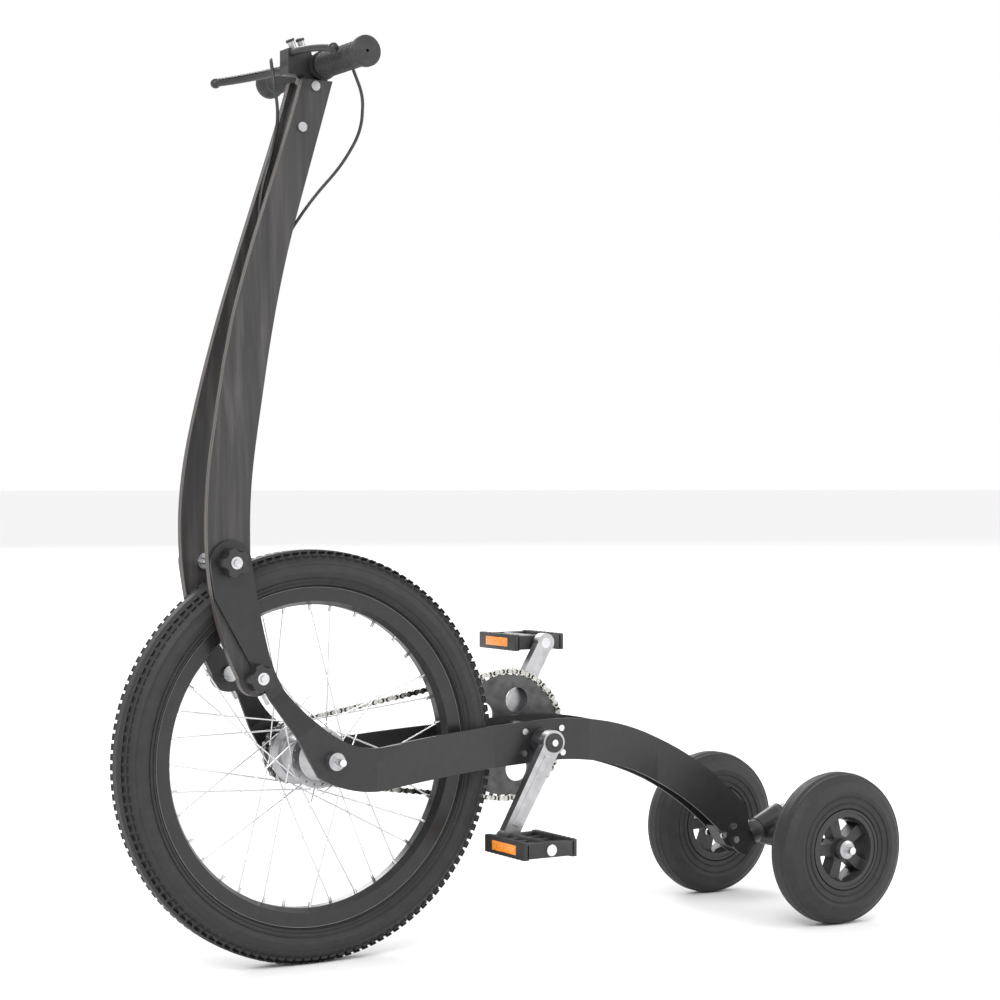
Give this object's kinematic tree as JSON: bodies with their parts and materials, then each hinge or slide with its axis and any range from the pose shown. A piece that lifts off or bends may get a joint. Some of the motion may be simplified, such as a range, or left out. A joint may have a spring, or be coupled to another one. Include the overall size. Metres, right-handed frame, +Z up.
{
  "type": "stand-up tricycle",
  "caption": "Stand-up pedal tricycle: large driven front wheel between S-shaped side plates, curved folding mast, small lean-steered rear wheels on a truck.",
  "frame": {"origin": "ground level under the centre of the bounding box", "axes": "-X forward, +Y the rider's right, +Z up"},
  "size_m": [1.0856, 0.358, 1.1504],
  "materials": {
    "plate_black": "satin",
    "plank": "satin",
    "tyre": "matte",
    "rim_black": "satin",
    "silver": "satin",
    "steel": "satin",
    "black_plastic": "matte",
    "grip_rubber": "matte",
    "truck_black": "satin",
    "elastomer": "matte",
    "chain_silver": "satin",
    "cable_black": "satin"
  },
  "bodies": {
    "frame": {"side_plate_left": "plate_black", "side_plate_right": "plate_black", "bottom_bracket": "truck_black", "truck_base": "truck_black", "front_axle": "steel", "axle_nuts": "silver", "chain": "chain_silver", "fold_rod": "steel", "clamp_bolts": "steel", "knob_upper_left": "black_plastic", "knob_upper_right": "black_plastic", "knob_lower_left": "black_plastic", "knob_lower_right": "black_plastic", "truck_bushings": "elastomer", "truck_nut": "steel"},
    "mast": {"mast_plank_left": "plank", "mast_plank_right": "plank", "mast_head": "black_plastic", "mast_bolts": "silver", "handlebar": "silver", "grip_left": "grip_rubber", "grip_right": "grip_rubber", "brake_lever_left": "black_plastic", "brake_lever_right": "black_plastic", "brake_cable": "cable_black", "shift_cable": "cable_black", "lever_posts": "silver"},
    "front_wheel": {"front_tyre": "tyre", "front_rim": "rim_black", "front_hub": "silver", "front_sprocket": "steel", "front_spokes": "steel"},
    "cranks": {"chainring": "silver", "crank_spindle": "steel", "crank_arm_left": "silver", "crank_arm_right": "silver", "pedal_axle_left": "steel", "pedal_axle_right": "steel"},
    "pedal_left": {"pedal_left": "black_plastic"},
    "pedal_right": {"pedal_right": "black_plastic"},
    "truck": {"truck_hanger": "truck_black", "rear_axle": "steel", "rear_axle_nuts": "silver"},
    "rear_wheel_left": {"rear_tyre_left": "tyre", "rear_rim_left": "black_plastic"},
    "rear_wheel_right": {"rear_tyre_right": "tyre", "rear_rim_right": "black_plastic"}
  },
  "joints": [
    {"name": "front_wheel_spin", "type": "hinge", "parent": "frame", "child": "front_wheel", "pos_m": [-0.28575, 0, 0.257], "axis": [0, 1, 0], "continuous": true},
    {"name": "crank_spin", "type": "hinge", "parent": "frame", "child": "cranks", "pos_m": [0.03325, 0, 0.261], "axis": [0, 1, 0], "continuous": true},
    {"name": "pedal_left_spin", "type": "hinge", "parent": "cranks", "child": "pedal_left", "pos_m": [-0.03575, -0.12, 0.14149], "axis": [0, 1, 0], "continuous": true},
    {"name": "pedal_right_spin", "type": "hinge", "parent": "cranks", "child": "pedal_right", "pos_m": [0.10225, 0.12, 0.38051], "axis": [0, 1, 0], "continuous": true},
    {"name": "truck_lean", "type": "hinge", "parent": "frame", "child": "truck", "pos_m": [0.43425, 0, 0.1215], "axis": [0.9063, 0, 0.4226], "range_deg": [-12, 12], "stiffness_Nm_per_rad": 120},
    {"name": "rear_wheel_left_spin", "type": "hinge", "parent": "truck", "child": "rear_wheel_left", "pos_m": [0.44025, -0.144, 0.1025], "axis": [0, 1, 0], "continuous": true},
    {"name": "rear_wheel_right_spin", "type": "hinge", "parent": "truck", "child": "rear_wheel_right", "pos_m": [0.44025, 0.144, 0.1025], "axis": [0, 1, 0], "continuous": true},
    {"name": "mast_fold", "type": "hinge", "parent": "frame", "child": "mast", "pos_m": [-0.41273, 0, 0.50093], "axis": [0, 1, 0], "range_deg": [0, 60]}
  ]
}
